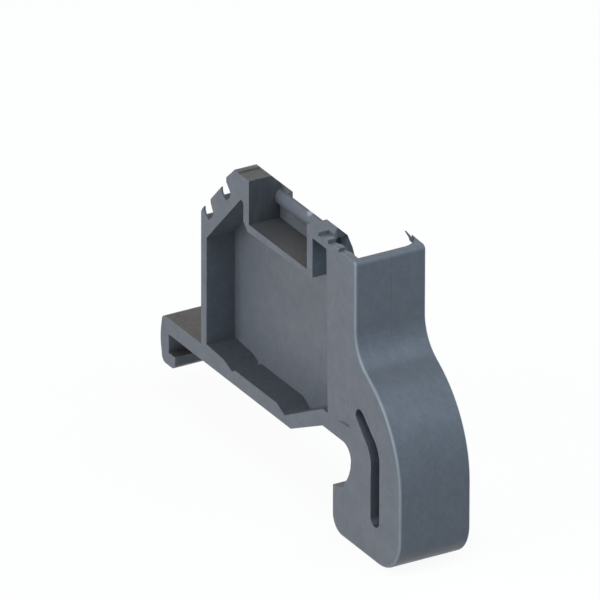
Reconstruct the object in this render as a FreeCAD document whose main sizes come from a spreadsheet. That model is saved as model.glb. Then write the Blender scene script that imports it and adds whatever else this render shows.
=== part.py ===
import FreeCAD, Part
import math
import os

import Sketcher

# DIN rail end stop: one moulding that hooks over a 35 mm top-hat rail and grips it with a sprung jaw.
#
# The profile lies in X (across the rail) and Z (up); Y runs along the rail, through the thickness.
# The origin is the middle of the rail seat: X = 0 halfway between the rail's two edges, Y = 0 at
# mid-thickness, Z = 0 on the underside that rests on the rail. The front face looks to -Y.
# All sizes are millimetres and degrees. A "reach" is measured across from the rail's left edge,
# a "height" up from the rail seat, and a "depth" back from the front face.

SIZES = [
    ("thickness", 8.0, "along the rail, front face to back face"),
    ("rail_width", 35.0, "width of the rail that the foot spans"),
    ("hook_back", 1.3, "rigid hook, outside the rail edge"),
    ("hook_height", 1.79, "top of the hook and of the beam's left end"),
    ("hook_slot", 2.03, "height of the slot that takes the rail flange"),
    ("hook_lip_reach", 1.3, "how far the hook passes under the flange"),
    ("hook_lip_height", 1.4, "height of the hook's lip"),
    ("hook_bow", 6.0, "radius of the hook's bowed back"),
    ("hook_round", 0.75, "radius of the hook's outer corners"),
    ("seat_reach", 24.25, "where the flat seat ends and the strut begins"),
    ("strut_foot_height", 3.1, "underside of the strut's upper end"),
    ("strut_reach", 30.5, "where the strut meets the grip"),
    ("strut_gap", 1.62, "height of the strut's inner face over the seat, at its low end"),
    ("strut_top_height", 4.92, "inner face of the strut at the grip"),
    ("ledge_height", 2.15, "first ledge of the floor, beside the left wall"),
    ("ledge_end", 11.0, "where the first ledge ends"),
    ("ledge_drop", 0.22, "fall of the first ledge towards the grip"),
    ("groove_height", 1.3, "bottom of the groove between the ledges"),
    ("groove_end", 12.6, "lowest point of the groove between the ledges"),
    ("sill_start", 13.3, "where the second ledge starts"),
    ("sill_end", 21.5, "where the second ledge ends"),
    ("sill_height", 1.68, "second ledge of the floor"),
    ("gully_reach", 23.0, "lowest point of the floor, at the foot of the strut"),
    ("gully_height", 0.95, "height of the floor there"),
    ("wall_reach", 6.55, "outer face of the left wall"),
    ("wall_thickness", 1.06, "thickness of the left wall"),
    ("wall_back_height", 12.6, "top of the left wall behind the web"),
    ("ceiling_height", 13.88, "where the sloping wall leaves the left wall, inside"),
    ("ceiling_angle", 46.3, "slope of the sloping wall"),
    ("ceiling_thickness", 1.88, "thickness of the sloping wall"),
    ("ceiling_round", 0.38, "rounding where the sloping ceiling meets the divider"),
    ("top_height", 23.75, "top of the block, the bar and the grip"),
    ("block_reach", 12.6, "left side of the corner block"),
    ("block_end", 16.0, "right side of the corner block"),
    ("block_ridge", 0.7, "width of the ridge on the left of the block's top"),
    ("block_step", 0.1, "how far the rest of the block's top lies under that ridge"),
    ("block_chamfer", 0.6, "chamfer on the block's upper left corner"),
    ("divider_thickness", 1.1, "wall between the pocket and the marker recess"),
    ("shelf_height", 18.85, "floor of the marker recess"),
    ("shelf_thickness", 0.88, "thickness of that floor beside the divider"),
    ("shelf_rise", 0.35, "how much its underside rises to the rib"),
    ("shelf_chamfer", 0.8, "slope from the divider to the shelf's underside"),
    ("rib_reach", 27.32, "left side of the rib that ends the marker recess"),
    ("rib_thickness", 1.08, "thickness of that rib"),
    ("bar_height", 1.1, "height of the bar that joins the rib to the grip"),
    ("web_depth", 3.25, "front of the web, from the front face"),
    ("web_thickness", 0.9, "thickness of the web"),
    ("bead_height", 21.1, "middle of the marker bead's rounded nose"),
    ("bead_radius", 1.0, "radius of the bead's nose"),
    ("recess_depth", 3.55, "depth of the marker recess from the front face"),
    ("bead_depth", 2.97, "the nose's depth from the front face"),
    ("bead_undercut", 1.15, "where the slope under the nose starts, below its middle"),
    ("bevel_depth", 2.25, "where the bevel behind the top starts"),
    ("bevel_middle_depth", 3.15, "where that bevel turns steeper"),
    ("bevel_middle_height", 22.85, "height of that turn"),
    ("bevel_low_height", 20.3, "lower end of that bevel, at the back of the web"),
    ("bevel_bow", 9, "radius of the lower facet's gentle bow"),
    ("block_bevel_depth", 2.45, "where the bevel behind the corner block starts"),
    ("block_bevel_height", 22.1, "lower end of the block's bevel, at the back of the web"),
    ("block_back_reach", 1.45, "how far that bevel runs on past the block"),
    ("flange_thickness", 0.18, "thin toothed fin that stands on the sloping wall"),
    ("flange_height", 2.6, "outer edge of that flange over the pocket's ceiling"),
    ("crown_height", 2.93, "outer edge of the flange's last tooth, which runs into the block"),
    ("notch_pitch", 3.42, "how far apart the two notches are, across"),
    ("notch_reach", 8.06, "lowest point of the first notch"),
    ("notch_mouth", 0.87, "half width of a notch at its widest"),
    ("notch_depth", 1.2, "height of its widest place over its bottom"),
    ("notch_floor", 1.17, "a notch's lowest point over the pocket's ceiling, square to the slope"),
    ("notch_run", 0.9, "how far a notch is let into the wall from the front face"),
    ("lower_overhang", 0.5, "how far the lip reaches over the lower notch"),
    ("upper_overhang", 0.83, "how far the lip reaches over the upper notch"),
    ("notch_lip", 2.08, "height of the overhanging lip over its bottom"),
    ("wedge_reach", 12.4, "left end of the thickening at the foot of the web"),
    ("wedge_end", 23.6, "right end of that thickening"),
    ("wedge_depth", 2.95, "its depth from the front face at the floor"),
    ("wedge_height", 4.4, "its top, where it runs out into the web"),
    ("band_width", 5.63, "width of the grip's front band at the top"),
    ("band_taper", 0.35, "how much that edge moves in towards the strut"),
    ("grip_reach", 36.73, "outer face of the grip's upper part"),
    ("bend_height", 16.1, "where the grip starts to bend outwards"),
    ("bend_radius", 4.5, "radius of the upper, hollow bend"),
    ("bulge_radius", 12.0, "radius of the lower, full bend"),
    ("bend_angle", 59.0, "lean of the grip between its bends, from upright"),
    ("foot_reach", 45.53, "outer face of the grip's foot"),
    ("foot_drop", 7.45, "bottom of the foot, below the rail seat"),
    ("foot_round", 4.15, "radius of the foot's outer lower corner"),
    ("jaw_reach", 32.35, "tip of the jaw"),
    ("jaw_round", 1.9, "radius of the jaw's lower corner"),
    ("jaw_tip_drop", 2.58, "upper edge of the jaw's tip, below the seat"),
    ("jaw_root_reach", 34.45, "inner end of the jaw's sloping lip"),
    ("jaw_root_drop", 2.0, "height of that end, below the seat"),
    ("jaw_heel_reach", 34.95, "lower end of the ramp that presses on the rail edge"),
    ("jaw_heel_drop", 1.15, "height of that end, below the seat"),
    ("ramp_bow", 5.0, "radius of that ramp, from the relief down"),
    ("relief_radius", 1.6, "round relief over the rail edge, which lets the jaw spring"),
    ("relief_reach", 36.05, "outer side of that relief"),
    ("slot_reach", 39.88, "inner side of the sprung slot"),
    ("slot_width", 1.7, "width of the slot's upright part"),
    ("slot_drop", 2.95, "where the slot's round end starts, below the seat"),
    ("slot_inner_height", 2.5, "where the slot's inner side starts to bend"),
    ("slot_inner_radius", 3.4, "radius of that bend"),
    ("slot_inner_angle", 43.4, "lean of the inner side after the bend"),
    ("slot_inner_run", 2.9, "straight run of the inner side after the bend"),
    ("slot_outer_height", 3.3, "where the slot's outer side starts to bend"),
    ("slot_outer_radius", 3.6, "radius of that bend"),
    ("slot_outer_angle", 48.8, "lean of the outer side after the bend"),
    ("slot_outer_run", 2.6, "straight run of the outer side after the bend"),
    ("hollow_reach", 29.6, "left side of the hollow behind the grip's top"),
    ("hollow_height", 18.3, "floor of that hollow"),
    ("skin_front", 0.82, "front wall of the hollow"),
    ("skin_outer", 0.75, "outer wall of the hollow"),
    ("hollow_bevel", 1.3, "bevelled inner corner between the bar and the front wall"),
    ("hollow_sweep", 2.0, "radius of the hollow's far corner"),
    ("core_height", 9.6, "floor of the core behind the grip"),
    ("core_wall", 1.2, "side walls of that core"),
    ("core_round", 1.0, "radius of the core's lower corners"),
    ("tick_reach", 29.45, "first notch in the bar's upper edge"),
    ("tick_pitch", 2.0, "distance between those notches"),
    ("tick_width", 1.75, "width of one notch"),
    ("tick_drop", 0.42, "depth of one notch, at its steep side"),
    ("top_round", 0.5, "rounded outer edge of the grip's top"),
    ("rim_fall", 0.22, "how much lower the grip's rim is than the block"),
    ("spur_length", 1.1, "length of the thin spur on the rim's far end"),
    ("spur_thickness", 0.15, "thickness of that spur"),
    ("edge_round", 0.3, "radius on the grip's long edge along the front face"),
    ("back_round", 0.15, "radius on the same edge along the back"),
]

ARC_LEFT = 1
ARC_RIGHT = -1


class Size:
    """A number together with the sheet expression that it comes from."""

    def __init__(self, value, text):
        self.value = float(value)
        self.text = text

    def __add__(self, other):
        other = as_size(other)
        return Size(self.value + other.value, f"({self.text} + {other.text})")

    def __radd__(self, other):
        return as_size(other) + self

    def __sub__(self, other):
        other = as_size(other)
        return Size(self.value - other.value, f"({self.text} - {other.text})")

    def __rsub__(self, other):
        return as_size(other) - self

    def __mul__(self, other):
        other = as_size(other)
        return Size(self.value * other.value, f"({self.text} * {other.text})")

    def __rmul__(self, other):
        return as_size(other) * self

    def __truediv__(self, other):
        other = as_size(other)
        return Size(self.value / other.value, f"({self.text} / {other.text})")

    def __neg__(self):
        return Size(-self.value, f"(0 - {self.text})")


def as_size(number):
    """Return a plain number as a Size, and a Size as it is."""
    if isinstance(number, Size):
        return number
    return Size(number, f"{number:.6f}")


def sine(angle):
    """Sine of an angle in degrees."""
    return Size(math.sin(math.radians(angle.value)), f"sin({angle.text})")


def cosine(angle):
    """Cosine of an angle in degrees."""
    return Size(math.cos(math.radians(angle.value)), f"cos({angle.text})")


def distance(first, second):
    """Length of the run whose two upright parts are given."""
    text = f"sqrt({first.text} * {first.text} + {second.text} * {second.text})"
    return Size(math.hypot(first.value, second.value), text)


def fill_sheet(document):
    """Write every driving dimension into the sheet, with its name and its note."""
    sheet = document.addObject("Spreadsheet::Sheet", "sizes")
    for row, (name, value, note) in enumerate(SIZES, start=1):
        sheet.set(f"A{row}", name)
        sheet.set(f"B{row}", str(value))
        sheet.setAlias(f"B{row}", name)
        sheet.set(f"C{row}", note)
    document.recompute()
    return sheet


DOCUMENT = FreeCAD.newDocument("din_rail_end_stop")
SHEET = fill_sheet(DOCUMENT)


def size(name):
    """Return a driving dimension of the sheet."""
    return Size(SHEET.get(name), f"{SHEET.Name}.{name}")


def across(reach):
    """X of a reach from the rail's left edge."""
    return as_size(reach) - size("rail_width") / 2


def inward(depth):
    """Y of a depth from the front face."""
    return as_size(depth) - size("thickness") / 2


class Profile:
    """A closed outline of straight runs and arcs, with every corner tied to the sheet."""

    def __init__(self):
        self.corners = []
        self.bends = []

    def to(self, first, second, radius=None, side=ARC_LEFT):
        """Add a corner; a radius makes the run that leaves it an arc, turning to that side."""
        self.corners.append((as_size(first), as_size(second)))
        self.bends.append(None if radius is None else (as_size(radius), side))
        return self

    def place(self, body, name, role, offset):
        """Draw the outline as a sketch parallel to one of the body's origin planes."""
        sketch = body.newObject("Sketcher::SketchObject", name)
        plane = next(item for item in body.Origin.OriginFeatures if item.Role == role)
        sketch.AttachmentSupport = [(plane, "")]
        sketch.MapMode = "FlatFace"
        sketch.setExpression(".AttachmentOffset.Base.z", as_size(offset).text)
        runs = [self._run(sketch, index) for index in range(len(self.corners))]
        for index, (edge, _, last) in enumerate(runs):
            follower, first, _ = runs[(index + 1) % len(runs)]
            sketch.addConstraint(Sketcher.Constraint("Coincident", edge, last, follower, first))
        for index, (edge, first, _) in enumerate(runs):
            self._tie(sketch, index, edge, first)
        return sketch

    def _run(self, sketch, index):
        """Add one run; return its number and which of its ends come first and last."""
        here = FreeCAD.Vector(self.corners[index][0].value, self.corners[index][1].value, 0)
        following = self.corners[(index + 1) % len(self.corners)]
        there = FreeCAD.Vector(following[0].value, following[1].value, 0)
        if self.bends[index] is None:
            return sketch.addGeometry(Part.LineSegment(here, there), False), 1, 2
        radius, side = self.bends[index]
        half = (there - here) / 2
        rise = math.sqrt(max(radius.value ** 2 - half.Length ** 2, 0.0))
        middle = here + half + FreeCAD.Vector(-half.y, half.x, 0).normalize() * rise * side
        start, end = (here, there) if side == ARC_LEFT else (there, here)
        circle = Part.Circle(middle, FreeCAD.Vector(0, 0, 1), radius.value)
        begin_angle = math.atan2(start.y - middle.y, start.x - middle.x)
        end_angle = math.atan2(end.y - middle.y, end.x - middle.x)
        edge = sketch.addGeometry(Part.ArcOfCircle(circle, begin_angle, end_angle), False)
        return (edge, 1, 2) if side == ARC_LEFT else (edge, 2, 1)

    def _tie(self, sketch, index, edge, first):
        """Tie the corner where a run starts, and the run's radius, to the sheet."""
        corner = self.corners[index]
        for kind, part, letter in (("DistanceX", corner[0], "x"), ("DistanceY", corner[1], "y")):
            constraint = Sketcher.Constraint(kind, -1, 1, edge, first, part.value)
            self._bind(sketch, sketch.addConstraint(constraint), f"{letter}{index}", part)
        if self.bends[index] is not None:
            radius = self.bends[index][0]
            constraint = Sketcher.Constraint("Radius", edge, radius.value)
            self._bind(sketch, sketch.addConstraint(constraint), f"r{index}", radius)

    @staticmethod
    def _bind(sketch, number, label, part):
        """Name a constraint and bind it to its expression."""
        sketch.renameConstraint(number, label)
        sketch.setExpression(f"Constraints.{label}", part.text)


def pad(body, sketch, name, length, reverse=False, symmetric=False):
    """Add material from a sketch, along its normal unless reversed."""
    feature = body.newObject("PartDesign::Pad", name)
    feature.Profile = sketch
    feature.Reversed = reverse
    feature.SideType = "Symmetric" if symmetric else "One side"
    feature.setExpression("Length", as_size(length).text)
    return feature


def pocket(body, sketch, name, length, reverse=False, symmetric=False):
    """Cut material from a sketch, against its normal unless reversed."""
    feature = body.newObject("PartDesign::Pocket", name)
    feature.Profile = sketch
    feature.Reversed = reverse
    feature.SideType = "Symmetric" if symmetric else "One side"
    feature.setExpression("Length", as_size(length).text)
    return feature


def pattern(body, feature, name, direction, pitch, copies):
    """Repeat a feature along a sketch's or plane's direction."""
    row = body.newObject("PartDesign::LinearPattern", name)
    row.Originals = [feature]
    row.Direction = direction
    row.Mode = "Spacing"
    row.setExpression("Offset", as_size(pitch).text)
    row.Occurrences = copies
    body.Tip = row
    return row


def ceiling_at(reach):
    """Height of the pocket's sloping ceiling at a reach."""
    run = as_size(reach) - size("wall_reach") - size("wall_thickness")
    slope = sine(size("ceiling_angle")) / cosine(size("ceiling_angle"))
    return size("ceiling_height") + run * slope


def slope_outer_at(reach, thickness):
    """Height, at a reach, of a line that lies a thickness outside the sloping ceiling."""
    return ceiling_at(reach) + as_size(thickness) / cosine(size("ceiling_angle"))


def band_left():
    """Reach of the left edge of the grip's front band."""
    return size("grip_reach") - size("band_width")


def add_frame(body):
    """The plate that becomes the walled frame, from the front face to the back of the web."""
    wall = size("wall_reach")
    block = size("block_reach")
    chamfer = size("block_chamfer")
    top = size("top_height")
    inside_grip = band_left() + size("band_taper") * 1.5
    outline = Profile()
    outline.to(across(wall), size("groove_height") / 2)
    outline.to(across(size("seat_reach")), size("groove_height") / 2)
    outline.to(across(size("strut_reach")), (size("strut_foot_height") + size("strut_top_height")) / 2)
    outline.to(across(inside_grip), size("bend_height") / 2)
    outline.to(across(inside_grip), top)
    outline.to(across(block + chamfer), top)
    outline.to(across(block), top - chamfer)
    outline.to(across(block), slope_outer_at(block, size("ceiling_thickness")))
    outline.to(across(wall), slope_outer_at(wall, size("ceiling_thickness")))
    sketch = outline.place(body, "frame_outline", "XZ_Plane", size("thickness") / 2)
    return pad(body, sketch, "frame_plate", size("web_depth") + size("web_thickness"), reverse=True)


def bevel_block_back(body):
    """The bevel behind the corner block, which runs on a little past it."""
    back = size("web_depth") + size("web_thickness")
    high = size("top_height") + size("bar_height")
    outline = Profile()
    outline.to(inward(size("block_bevel_depth")), size("top_height"))
    outline.to(inward(back), size("block_bevel_height"))
    outline.to(inward(back + size("web_thickness")), size("block_bevel_height"))
    outline.to(inward(back + size("web_thickness")), high)
    outline.to(inward(size("block_bevel_depth")), high)
    sketch = outline.place(body, "block_bevel_outline", "YZ_Plane", across(size("wall_reach")))
    length = size("block_end") + size("block_back_reach") - size("wall_reach")
    return pocket(body, sketch, "block_bevel", length, reverse=True)


def bevel_web_back(body):
    """The two facets behind the top of the web and of the bar."""
    back = size("web_depth") + size("web_thickness")
    high = size("top_height") + size("bar_height")
    start = size("block_end") + size("block_back_reach")
    outline = Profile()
    outline.to(inward(size("bevel_depth")), size("top_height"))
    outline.to(inward(size("bevel_middle_depth")), size("bevel_middle_height"), size("bevel_bow"), ARC_RIGHT)
    outline.to(inward(back), size("bevel_low_height"))
    outline.to(inward(back + size("web_thickness")), size("bevel_low_height"))
    outline.to(inward(back + size("web_thickness")), high)
    outline.to(inward(size("bevel_depth")), high)
    sketch = outline.place(body, "web_bevel_outline", "YZ_Plane", across(start))
    return pocket(body, sketch, "web_bevel", size("grip_reach") - start, reverse=True)


def cut_main_pocket(body):
    """The large pocket under the sloping wall and the shelf, as deep as the web."""
    wall = size("wall_reach") + size("wall_thickness")
    divider = size("block_end") - size("divider_thickness")
    rib = size("rib_reach") + size("rib_thickness")
    underside = size("shelf_height") - size("shelf_thickness")
    roof = size("top_height") - size("bar_height")
    slope = size("ceiling_angle")
    apex = ceiling_at(divider)
    half = (90 - slope) / 2
    run = size("ceiling_round") * cosine(half) / sine(half)
    inside_grip = band_left() + size("band_taper") * 1.5
    outline = Profile()
    outline.to(across(wall), size("groove_height") / 2)
    outline.to(across(size("seat_reach")), size("groove_height") / 2)
    outline.to(across(size("strut_reach")), (size("strut_foot_height") + size("strut_top_height")) / 2)
    outline.to(across(inside_grip), size("bend_height") / 2)
    outline.to(across(inside_grip), roof)
    outline.to(across(rib), roof)
    outline.to(across(rib), underside + size("shelf_rise"))
    outline.to(across(divider + size("shelf_chamfer")), underside)
    outline.to(across(divider), underside + size("shelf_chamfer"))
    outline.to(across(divider), apex - run, size("ceiling_round"), ARC_LEFT)
    outline.to(across(divider - run * cosine(slope)), apex - run * sine(slope))
    outline.to(across(wall), size("ceiling_height"))
    sketch = outline.place(body, "pocket_outline", "XZ_Plane", size("thickness") / 2)
    return pocket(body, sketch, "main_pocket", size("web_depth"))


def cut_marker_recess(body):
    """The recess for a marker strip, open in front and on top, with its retaining bead."""
    top = size("top_height") + size("bar_height")
    nose = size("bead_height")
    bead = size("bead_radius")
    low = nose - bead * sine(as_size(60))
    back = size("thickness") - size("web_thickness")
    outline = Profile()
    outline.to(inward(-size("skin_front")), size("shelf_height"))
    outline.to(inward(size("recess_depth")), size("shelf_height"))
    outline.to(inward(size("recess_depth")), nose - size("bead_undercut"))
    outline.to(inward(size("bead_depth") + bead / 2), low, bead, ARC_RIGHT)
    outline.to(inward(size("bead_depth")), nose, bead, ARC_RIGHT)
    outline.to(inward(size("bead_depth") + bead), nose + bead)
    outline.to(inward(back), nose + bead)
    outline.to(inward(back), top)
    outline.to(inward(-size("skin_front")), top)
    sketch = outline.place(body, "recess_outline", "YZ_Plane", across(size("block_end")))
    length = size("rib_reach") - size("block_end")
    return pocket(body, sketch, "marker_recess", length, reverse=True)


def add_toothed_flange(body):
    """The thin fin along the sloping wall, flush with the front face."""
    wall = size("wall_reach")
    lip = wall + size("wall_thickness") / 4
    tooth = size("notch_reach") + size("notch_pitch") - size("notch_mouth") / 5
    block = size("block_reach") + size("block_chamfer") / 2
    edge = size("flange_height")
    outline = Profile()
    outline.to(across(wall), size("ceiling_height"))
    outline.to(across(block), slope_outer_at(block, 0))
    outline.to(across(block), size("top_height") - size("block_chamfer") / 2)
    outline.to(across(tooth), slope_outer_at(tooth, size("crown_height")))
    outline.to(across(tooth), slope_outer_at(tooth, edge))
    outline.to(across(lip), slope_outer_at(lip, edge))
    outline.to(across(wall), slope_outer_at(wall, edge) - size("wall_thickness") / 8)
    sketch = outline.place(body, "flange_outline", "XZ_Plane", size("thickness") / 2)
    return pad(body, sketch, "toothed_flange", size("flange_thickness"), reverse=True)


def cut_notch(body, name, reach, overhang):
    """One hooked notch in the fin and the wall under it, lowest at the given reach."""
    low = slope_outer_at(reach, size("notch_floor"))
    mouth = size("notch_mouth")
    deep = size("notch_depth")
    outer = size("crown_height") + size("notch_lip") / 2
    outline = Profile()
    outline.to(across(reach), low)
    outline.to(across(reach + mouth * 0.58), low + deep * 0.37, mouth * 1.05, ARC_LEFT)
    outline.to(across(reach + mouth), low + deep)
    outline.to(across(reach + mouth - overhang), low + size("notch_lip"))
    outline.to(across(reach + mouth - overhang), low + outer)
    outline.to(across(reach - mouth * 1.6), low + outer)
    outline.to(across(reach - mouth * 1.02), low + deep)
    outline.to(across(reach - mouth * 1.04), low + deep * 0.72, mouth * 0.92, ARC_LEFT)
    outline.to(across(reach - mouth * 0.42), low + deep * 0.17)
    sketch = outline.place(body, f"{name}_outline", "XZ_Plane", size("thickness") / 2)
    return pocket(body, sketch, name, size("notch_run"))


def grip_points():
    """Ends of the grip's two bends, from the foot upwards, as pairs of reach and height."""
    lean = size("bend_angle")
    upper = size("bend_radius")
    lower = size("bulge_radius")
    grip = size("grip_reach")
    foot = size("foot_reach")
    straight = (foot - grip - (upper + lower) * (1 - cosine(lean))) / sine(lean)
    upper_end = grip + upper * (1 - cosine(lean))
    upper_low = size("bend_height") - upper * sine(lean)
    lower_start = upper_end + straight * sine(lean)
    lower_high = upper_low - straight * cosine(lean)
    return [
        (foot, lower_high - lower * sine(lean)),
        (lower_start, lower_high),
        (upper_end, upper_low),
        (grip, size("bend_height")),
    ]


def add_foot(body):
    """Hook, beam, strut, jaw and grip, through the whole thickness."""
    hook = -size("hook_back")
    hook_low = -(size("hook_slot") + size("hook_lip_height"))
    hook_round = size("hook_round")
    lip = size("hook_lip_reach")
    wall = size("wall_reach") + size("wall_thickness")
    strut = size("strut_reach")
    relief = size("relief_reach")
    relief_radius = size("relief_radius")
    jaw = size("jaw_reach")
    jaw_round = size("jaw_round")
    foot = size("foot_reach")
    foot_low = -size("foot_drop")
    foot_round = size("foot_round")
    top = size("top_height")
    rim = top - size("rim_fall")
    top_round = size("top_round")
    bulge_end, bulge_start, bend_end, bend_start = grip_points()
    outline = Profile()
    outline.to(across(0), 0)
    outline.to(across(size("seat_reach")), 0)
    outline.to(across(strut), size("strut_foot_height"))
    outline.to(across(relief - relief_radius), size("strut_foot_height"), relief_radius, ARC_RIGHT)
    outline.to(across(relief), size("strut_foot_height") - relief_radius, size("ramp_bow"), ARC_RIGHT)
    outline.to(across(size("jaw_heel_reach")), -size("jaw_heel_drop"))
    outline.to(across(size("jaw_root_reach")), -size("jaw_root_drop"))
    outline.to(across(jaw), -size("jaw_tip_drop"))
    outline.to(across(jaw), foot_low + jaw_round, jaw_round, ARC_LEFT)
    outline.to(across(jaw + jaw_round), foot_low)
    outline.to(across(foot - foot_round), foot_low, foot_round, ARC_LEFT)
    outline.to(across(foot), foot_low + foot_round)
    outline.to(across(bulge_end[0]), bulge_end[1], size("bulge_radius"), ARC_LEFT)
    outline.to(across(bulge_start[0]), bulge_start[1])
    outline.to(across(bend_end[0]), bend_end[1], size("bend_radius"), ARC_RIGHT)
    outline.to(across(bend_start[0]), bend_start[1])
    outline.to(across(size("grip_reach")), rim - top_round, top_round, ARC_LEFT)
    outline.to(across(size("grip_reach") - top_round), rim)
    outline.to(across(size("grip_reach") - size("skin_outer")), rim)
    outline.to(across(band_left()), top)
    outline.to(across(band_left() + size("band_taper")), size("strut_top_height"))
    outline.to(across(strut), size("strut_top_height"))
    outline.to(across(size("seat_reach")), size("strut_gap"))
    outline.to(across(size("gully_reach")), size("gully_height"))
    outline.to(across(size("sill_end")), size("sill_height"))
    outline.to(across(size("sill_start")), size("sill_height"))
    outline.to(across(size("groove_end")), size("groove_height"))
    outline.to(across(size("ledge_end")), size("ledge_height") - size("ledge_drop"))
    outline.to(across(wall), size("ledge_height"))
    outline.to(across(wall), size("wall_back_height") + size("wall_thickness"))
    outline.to(across(size("wall_reach")), size("wall_back_height"))
    outline.to(across(size("wall_reach")), size("hook_height"))
    outline.to(across(hook + hook_round), size("hook_height"), hook_round, ARC_LEFT)
    outline.to(across(hook), size("hook_height") - hook_round, size("hook_bow"), ARC_LEFT)
    outline.to(across(hook), hook_low + hook_round, hook_round, ARC_LEFT)
    outline.to(across(hook + hook_round), hook_low)
    outline.to(across(lip - hook_round / 2), hook_low)
    outline.to(across(lip), hook_low + hook_round / 2)
    outline.to(across(lip), -size("hook_slot"))
    outline.to(across(0), -size("hook_slot"))
    sketch = outline.place(body, "foot_outline", "XZ_Plane", 0)
    return pad(body, sketch, "rail_foot", size("thickness"), symmetric=True)


def round_grip_edge(body, previous, name, depth, radius):
    """Small rounding of the grip's long outer edge and its bottom, at the given depth."""
    low_left = across(size("jaw_reach") + size("jaw_round")).value - 0.01
    outer = across(size("grip_reach") - size("top_round")).value - 0.01
    level = inward(depth).value
    names = []
    for number, edge in enumerate(previous.Shape.Edges, start=1):
        ends = [vertex.Point for vertex in edge.Vertexes]
        on_level = all(abs(point.y - level) < 0.001 for point in ends)
        along_bottom = all(point.z < 0.01 - size("foot_drop").value for point in ends)
        along_grip = all(point.x > outer and point.x > low_left for point in ends)
        if on_level and (along_bottom or along_grip):
            names.append(f"Edge{number}")
    fillet = body.newObject("PartDesign::Fillet", name)
    fillet.Base = (previous, names)
    fillet.setExpression("Radius", size(radius).text)
    return fillet


def cut_hollow(body):
    """The hollow behind the grip's top, open above and at its back."""
    back = size("thickness")
    left = size("hollow_reach")
    bevel = size("hollow_bevel")
    skin = size("skin_front")
    right = size("grip_reach") - size("skin_outer")
    sweep = size("hollow_sweep")
    outline = Profile()
    outline.to(across(left), inward(back + skin))
    outline.to(across(left), inward(skin + bevel))
    outline.to(across(left + bevel), inward(skin))
    outline.to(across(right), inward(skin))
    outline.to(across(right), inward(back - sweep), sweep, ARC_LEFT)
    outline.to(across(right - sweep), inward(back))
    outline.to(across(right - sweep), inward(back + skin))
    sketch = outline.place(body, "hollow_outline", "XY_Plane", size("top_height") + skin)
    depth = size("top_height") + skin - size("hollow_height")
    return pocket(body, sketch, "grip_hollow", depth)


def cut_core(body):
    """The core that keeps the wall of the grip's column even, cut from the back."""
    left = band_left() + size("band_taper") + size("core_wall")
    right = size("grip_reach") - size("core_wall")
    low = size("core_height")
    corner = size("core_round")
    high = size("hollow_height") + size("skin_outer")
    outline = Profile()
    outline.to(across(left), high)
    outline.to(across(left), low + corner, corner, ARC_LEFT)
    outline.to(across(left + corner), low)
    outline.to(across(right - corner), low, corner, ARC_LEFT)
    outline.to(across(right), low + corner)
    outline.to(across(right), high)
    sketch = outline.place(body, "core_outline", "XZ_Plane", -size("thickness") / 2)
    depth = size("thickness") - size("web_depth") - size("web_thickness")
    return pocket(body, sketch, "grip_core", depth, reverse=True)


def cut_spring_slot(body):
    """The curved slot between the jaw and the grip, through the whole thickness."""
    inner = size("slot_reach")
    outer = inner + size("slot_width")
    low = -size("slot_drop")
    inner_lean = size("slot_inner_angle")
    outer_lean = size("slot_outer_angle")
    inner_end = inner - size("slot_inner_radius") * (1 - cosine(inner_lean))
    inner_high = size("slot_inner_height") + size("slot_inner_radius") * sine(inner_lean)
    outer_end = outer - size("slot_outer_radius") * (1 - cosine(outer_lean))
    outer_high = size("slot_outer_height") + size("slot_outer_radius") * sine(outer_lean)
    inner_tip = inner_end - size("slot_inner_run") * sine(inner_lean)
    inner_tip_high = inner_high + size("slot_inner_run") * cosine(inner_lean)
    outer_tip = outer_end - size("slot_outer_run") * sine(outer_lean)
    outer_tip_high = outer_high + size("slot_outer_run") * cosine(outer_lean)
    tip = distance(outer_tip - inner_tip, outer_tip_high - inner_tip_high)
    outline = Profile()
    outline.to(across(inner), low, size("slot_width") * 0.52, ARC_LEFT)
    outline.to(across(outer), low)
    outline.to(across(outer), size("slot_outer_height"), size("slot_outer_radius"), ARC_LEFT)
    outline.to(across(outer_end), outer_high)
    outline.to(across(outer_tip), outer_tip_high, tip * 0.52, ARC_LEFT)
    outline.to(across(inner_tip), inner_tip_high)
    outline.to(across(inner_end), inner_high, size("slot_inner_radius"), ARC_RIGHT)
    outline.to(across(inner), size("slot_inner_height"))
    sketch = outline.place(body, "slot_outline", "XZ_Plane", 0)
    return pocket(body, sketch, "spring_slot", size("thickness") * 1.5, symmetric=True)


def add_wedge(body):
    """The thickening at the foot of the web, growing towards the strut."""
    back = size("web_depth") + size("web_thickness") / 2
    bottom = size("gully_height") / 2
    outline = Profile()
    outline.to(inward(size("wedge_depth")), bottom)
    outline.to(inward(back), bottom)
    outline.to(inward(back), size("wedge_height"))
    outline.to(inward(size("web_depth")), size("wedge_height"))
    sketch = outline.place(body, "wedge_outline", "YZ_Plane", across(size("wedge_reach")))
    return pad(body, sketch, "web_wedge", size("wedge_end") - size("wedge_reach"))


def cut_ticks(body):
    """Three sawtooth notches in the upper edge of the bar and the grip."""
    top = size("top_height")
    start = size("tick_reach")
    width = size("tick_width")
    outline = Profile()
    outline.to(across(start), top + size("skin_front"))
    outline.to(across(start), top - size("tick_drop"))
    outline.to(across(start + width), top)
    outline.to(across(start + width), top + size("skin_front"))
    sketch = outline.place(body, "tick_outline", "XZ_Plane", size("thickness") / 2)
    tick = pocket(body, sketch, "edge_tick", size("skin_front") + size("tick_drop"))
    return pattern(body, tick, "edge_ticks", (sketch, ["H_Axis"]), size("tick_pitch"), 3)


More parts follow.
